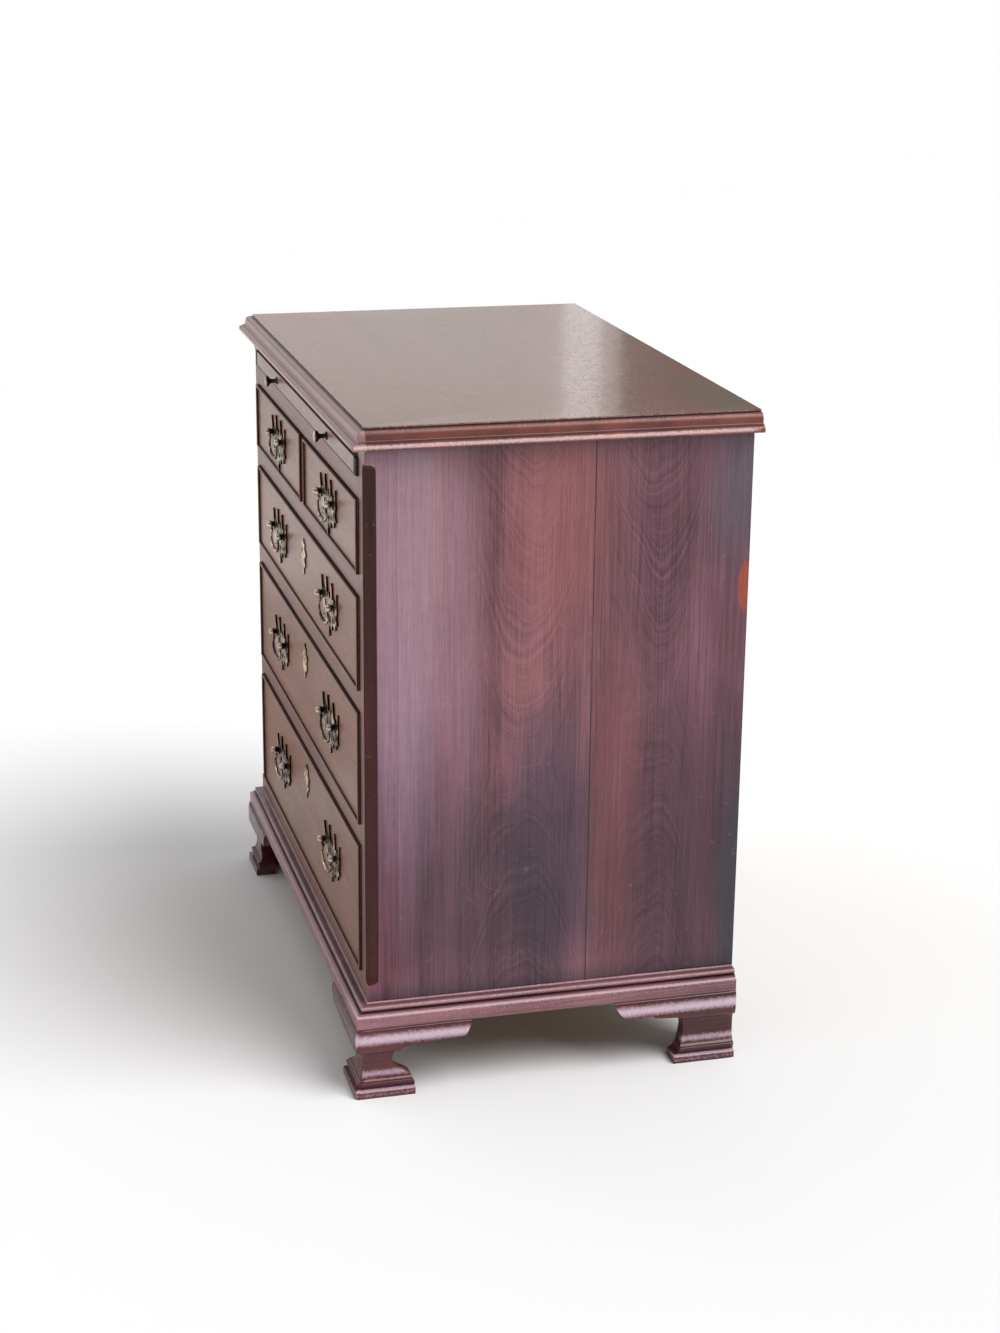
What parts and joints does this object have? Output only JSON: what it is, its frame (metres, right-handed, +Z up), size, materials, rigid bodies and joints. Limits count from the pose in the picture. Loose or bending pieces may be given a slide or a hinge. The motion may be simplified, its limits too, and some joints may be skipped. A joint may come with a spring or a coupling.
{
  "type": "bachelors chest",
  "caption": "Small mahogany chest of drawers with a moulded top, a brushing slide, cockbeaded drawers, swan-neck handles, canted front corners and ogee bracket feet.",
  "frame": {"origin": "middle of the overall box, on the floor under the feet", "axes": "+Z up, the drawers open towards -Y, +X to the right seen from the front"},
  "size_m": [0.774, 0.4766, 0.8],
  "materials": {
    "mahogany": "polished, reddish brown",
    "top_mahogany": "glossy, grey brown",
    "drawer_mahogany": "satin, greyish brown",
    "oak": "bare, planed",
    "pine": "bare, darkened with age",
    "brass": "old, dull gold",
    "iron": "dull"
  },
  "bodies": {
    "carcase": {"top_board": "top_mahogany", "side_left": "mahogany", "side_right": "mahogany", "corner_post_left": "mahogany", "corner_post_right": "mahogany", "slide_frame": "mahogany", "drawer_rail_1": "mahogany", "drawer_rail_2": "mahogany", "drawer_rail_3": "mahogany", "short_drawer_divider": "mahogany", "dustboard_1": "oak", "dustboard_2": "oak", "dustboard_3": "oak", "bottom_board": "oak", "back_boards": "pine", "base_moulding": "mahogany", "front_left_foot": "mahogany", "front_right_foot": "mahogany", "rear_left_foot": "mahogany", "rear_right_foot": "mahogany"},
    "slide": {"slide_board": "mahogany", "slide_knob_left": "brass", "slide_knob_right": "brass"},
    "short_drawer_left": {"short_drawer_left_front": "drawer_mahogany", "short_drawer_left_box": "oak", "short_drawer_left_bottom": "oak", "short_drawer_left_backplate": "brass"},
    "short_drawer_left_bail": {"short_drawer_left_bail": "brass"},
    "short_drawer_right": {"short_drawer_right_front": "drawer_mahogany", "short_drawer_right_box": "oak", "short_drawer_right_bottom": "oak", "short_drawer_right_backplate": "brass"},
    "short_drawer_right_bail": {"short_drawer_right_bail": "brass"},
    "long_drawer_1": {"long_drawer_1_front": "drawer_mahogany", "long_drawer_1_box": "oak", "long_drawer_1_bottom": "oak", "long_drawer_1_backplate_left": "brass", "long_drawer_1_backplate_right": "brass", "long_drawer_1_lock": "brass"},
    "long_drawer_1_bail_left": {"long_drawer_1_bail_left": "brass"},
    "long_drawer_1_bail_right": {"long_drawer_1_bail_right": "brass"},
    "long_drawer_1_lock_bolt": {"long_drawer_1_lock_bolt": "iron"},
    "long_drawer_2": {"long_drawer_2_front": "drawer_mahogany", "long_drawer_2_box": "oak", "long_drawer_2_bottom": "oak", "long_drawer_2_backplate_left": "brass", "long_drawer_2_backplate_right": "brass", "long_drawer_2_lock": "brass"},
    "long_drawer_2_bail_left": {"long_drawer_2_bail_left": "brass"},
    "long_drawer_2_bail_right": {"long_drawer_2_bail_right": "brass"},
    "long_drawer_2_lock_bolt": {"long_drawer_2_lock_bolt": "iron"},
    "long_drawer_3": {"long_drawer_3_front": "drawer_mahogany", "long_drawer_3_box": "oak", "long_drawer_3_bottom": "oak", "long_drawer_3_backplate_left": "brass", "long_drawer_3_backplate_right": "brass", "long_drawer_3_lock": "brass"},
    "long_drawer_3_bail_left": {"long_drawer_3_bail_left": "brass"},
    "long_drawer_3_bail_right": {"long_drawer_3_bail_right": "brass"},
    "long_drawer_3_lock_bolt": {"long_drawer_3_lock_bolt": "iron"}
  },
  "joints": [
    {"name": "slide_pull", "type": "slide", "parent": "carcase", "child": "slide", "axis": [0, -1, 0], "range_m": [0, 0.3]},
    {"name": "short_drawer_left_pull", "type": "slide", "parent": "carcase", "child": "short_drawer_left", "axis": [0, -1, 0], "range_m": [0, 0.34]},
    {"name": "short_drawer_left_bail_lift", "type": "hinge", "parent": "short_drawer_left", "child": "short_drawer_left_bail", "pos_m": [-0.168, -0.22785, 0.67375], "axis": [-1, 0, 0], "range_deg": [-8, 100]},
    {"name": "short_drawer_right_pull", "type": "slide", "parent": "carcase", "child": "short_drawer_right", "axis": [0, -1, 0], "range_m": [0, 0.34]},
    {"name": "short_drawer_right_bail_lift", "type": "hinge", "parent": "short_drawer_right", "child": "short_drawer_right_bail", "pos_m": [0.168, -0.22785, 0.67375], "axis": [-1, 0, 0], "range_deg": [-8, 100]},
    {"name": "long_drawer_1_pull", "type": "slide", "parent": "carcase", "child": "long_drawer_1", "axis": [0, -1, 0], "range_m": [0, 0.34]},
    {"name": "long_drawer_1_bail_left_lift", "type": "hinge", "parent": "long_drawer_1", "child": "long_drawer_1_bail_left", "pos_m": [-0.168, -0.22785, 0.5485], "axis": [-1, 0, 0], "range_deg": [-8, 100]},
    {"name": "long_drawer_1_bail_right_lift", "type": "hinge", "parent": "long_drawer_1", "child": "long_drawer_1_bail_right", "pos_m": [0.168, -0.22785, 0.5485], "axis": [-1, 0, 0], "range_deg": [-8, 100]},
    {"name": "long_drawer_1_lock_bolt_throw", "type": "slide", "parent": "long_drawer_1", "child": "long_drawer_1_lock_bolt", "axis": [0, 0, 1], "range_m": [0, 0.008]},
    {"name": "long_drawer_2_pull", "type": "slide", "parent": "carcase", "child": "long_drawer_2", "axis": [0, -1, 0], "range_m": [0, 0.34]},
    {"name": "long_drawer_2_bail_left_lift", "type": "hinge", "parent": "long_drawer_2", "child": "long_drawer_2_bail_left", "pos_m": [-0.168, -0.22785, 0.39975], "axis": [-1, 0, 0], "range_deg": [-8, 100]},
    {"name": "long_drawer_2_bail_right_lift", "type": "hinge", "parent": "long_drawer_2", "child": "long_drawer_2_bail_right", "pos_m": [0.168, -0.22785, 0.39975], "axis": [-1, 0, 0], "range_deg": [-8, 100]},
    {"name": "long_drawer_2_lock_bolt_throw", "type": "slide", "parent": "long_drawer_2", "child": "long_drawer_2_lock_bolt", "axis": [0, 0, 1], "range_m": [0, 0.008]},
    {"name": "long_drawer_3_pull", "type": "slide", "parent": "carcase", "child": "long_drawer_3", "axis": [0, -1, 0], "range_m": [0, 0.34]},
    {"name": "long_drawer_3_bail_left_lift", "type": "hinge", "parent": "long_drawer_3", "child": "long_drawer_3_bail_left", "pos_m": [-0.168, -0.22785, 0.231], "axis": [-1, 0, 0], "range_deg": [-8, 100]},
    {"name": "long_drawer_3_bail_right_lift", "type": "hinge", "parent": "long_drawer_3", "child": "long_drawer_3_bail_right", "pos_m": [0.168, -0.22785, 0.231], "axis": [-1, 0, 0], "range_deg": [-8, 100]},
    {"name": "long_drawer_3_lock_bolt_throw", "type": "slide", "parent": "long_drawer_3", "child": "long_drawer_3_lock_bolt", "axis": [0, 0, 1], "range_m": [0, 0.008]}
  ]
}
